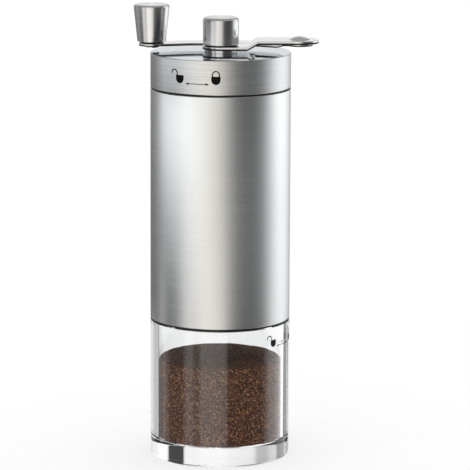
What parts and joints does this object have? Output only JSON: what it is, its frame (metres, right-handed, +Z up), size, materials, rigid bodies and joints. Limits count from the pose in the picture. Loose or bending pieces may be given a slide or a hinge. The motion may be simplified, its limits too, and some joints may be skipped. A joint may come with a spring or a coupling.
{
  "type": "hand crank coffee grinder",
  "caption": "Slim steel-sleeved hand coffee mill with a folding crank, a tapered knob, a bayonet lid, a conical ceramic burr mill and a clear glass jar.",
  "frame": {"origin": "centre of the jar's flat base, on the grinder's axis", "axes": "+Z up along the grinder's axis, +X from the axis to the crank's fold rivet, -Y the front"},
  "size_m": [0.0791, 0.06, 0.1948],
  "materials": {
    "steel_cover": "brushed around the band, mirror-polished on top",
    "brushed_sleeve": "fine horizontal brushing",
    "polished_steel": "polished",
    "bright_steel": "bright turned steel",
    "spring_steel": "hardened, slightly dark",
    "bearing_bronze": "satin sintered bronze",
    "burr_ceramic": "unglazed fine ceramic",
    "black_plastic": "moulded, fine matt grain",
    "white_nylon": "natural nylon",
    "seal_silicone": "translucent white silicone, modelled opaque",
    "jar_glass": "clear pressed glass"
  },
  "bodies": {
    "housing": {"sleeve": "brushed_sleeve", "hopper": "black_plastic", "mill_housing": "black_plastic", "bearing_bracket": "black_plastic", "bracket_screws": "bright_steel", "upper_bush": "bearing_bronze", "lower_bush": "bearing_bronze", "ring_burr": "burr_ceramic", "burr_retainer": "black_plastic", "retainer_screws": "bright_steel"},
    "lid_bearing": {"lid_bush": "bright_steel"},
    "lid": {"lid_cover": "steel_cover", "lid_insert": "black_plastic"},
    "crank": {"crank_spindle": "bright_steel", "spindle_clip": "spring_steel", "inner_arm": "polished_steel", "cap_nut": "polished_steel", "fold_rivet": "bright_steel"},
    "folding_arm": {"outer_arm": "polished_steel", "knob_pin": "bright_steel", "knob_snap_ring": "spring_steel"},
    "knob": {"knob": "polished_steel"},
    "shaft": {"drive_shaft": "bright_steel", "thrust_washer": "white_nylon", "shaft_clip": "spring_steel", "spring_washer": "bright_steel", "burr_spring": "spring_steel"},
    "cone": {"cone_burr": "burr_ceramic", "burr_carrier": "black_plastic"},
    "adjuster": {"adjusting_nut": "black_plastic"},
    "seal": {"jar_seal": "seal_silicone"},
    "jar": {"jar": "jar_glass"}
  },
  "joints": [
    {"name": "lid_lift", "type": "slide", "parent": "housing", "child": "lid_bearing", "axis": [0, 0, 1], "range_m": [0, 0.026]},
    {"name": "lid_twist", "type": "hinge", "parent": "lid_bearing", "child": "lid", "pos_m": [0, 0, 0.1604], "axis": [0, 0, -1], "range_deg": [0, 31.3]},
    {"name": "crank_spin", "type": "hinge", "parent": "lid_bearing", "child": "crank", "pos_m": [0, 0, 0.1763], "axis": [0, 0, -1], "continuous": true},
    {"name": "crank_fold", "type": "hinge", "parent": "crank", "child": "folding_arm", "pos_m": [0.0335, 0, 0.17785], "axis": [0, 0, -1], "range_deg": [0, 173.7]},
    {"name": "knob_spin", "type": "hinge", "parent": "folding_arm", "child": "knob", "pos_m": [-0.02945, 0.007, 0.17815], "axis": [0, 0, 1], "continuous": true},
    {"name": "shaft_spin", "type": "hinge", "parent": "housing", "child": "shaft", "pos_m": [0, 0, 0.09895], "axis": [0, 0, -1], "continuous": true},
    {"name": "burr_slide", "type": "slide", "parent": "shaft", "child": "cone", "axis": [0, 0, -1], "range_m": [0, 0.0015], "deforming": ["burr_spring"]},
    {"name": "adjust_turn", "type": "hinge", "parent": "cone", "child": "adjuster", "pos_m": [0, 0, 0.0612], "axis": [0, 0, -1], "range_deg": [0, 720]},
    {"name": "jar_pull", "type": "slide", "parent": "housing", "child": "seal", "axis": [0, 0, -1], "range_m": [0, 0.014]},
    {"name": "jar_twist", "type": "hinge", "parent": "seal", "child": "jar", "pos_m": [0, 0, 0], "axis": [0, 0, -1], "range_deg": [0, 31.3]}
  ],
  "couplings": [
    {"joint": "shaft_spin", "follows": "crank_spin", "ratio": 1},
    {"joint": "adjust_turn", "follows": "burr_slide", "rad_per_m": 8377.5}
  ]
}
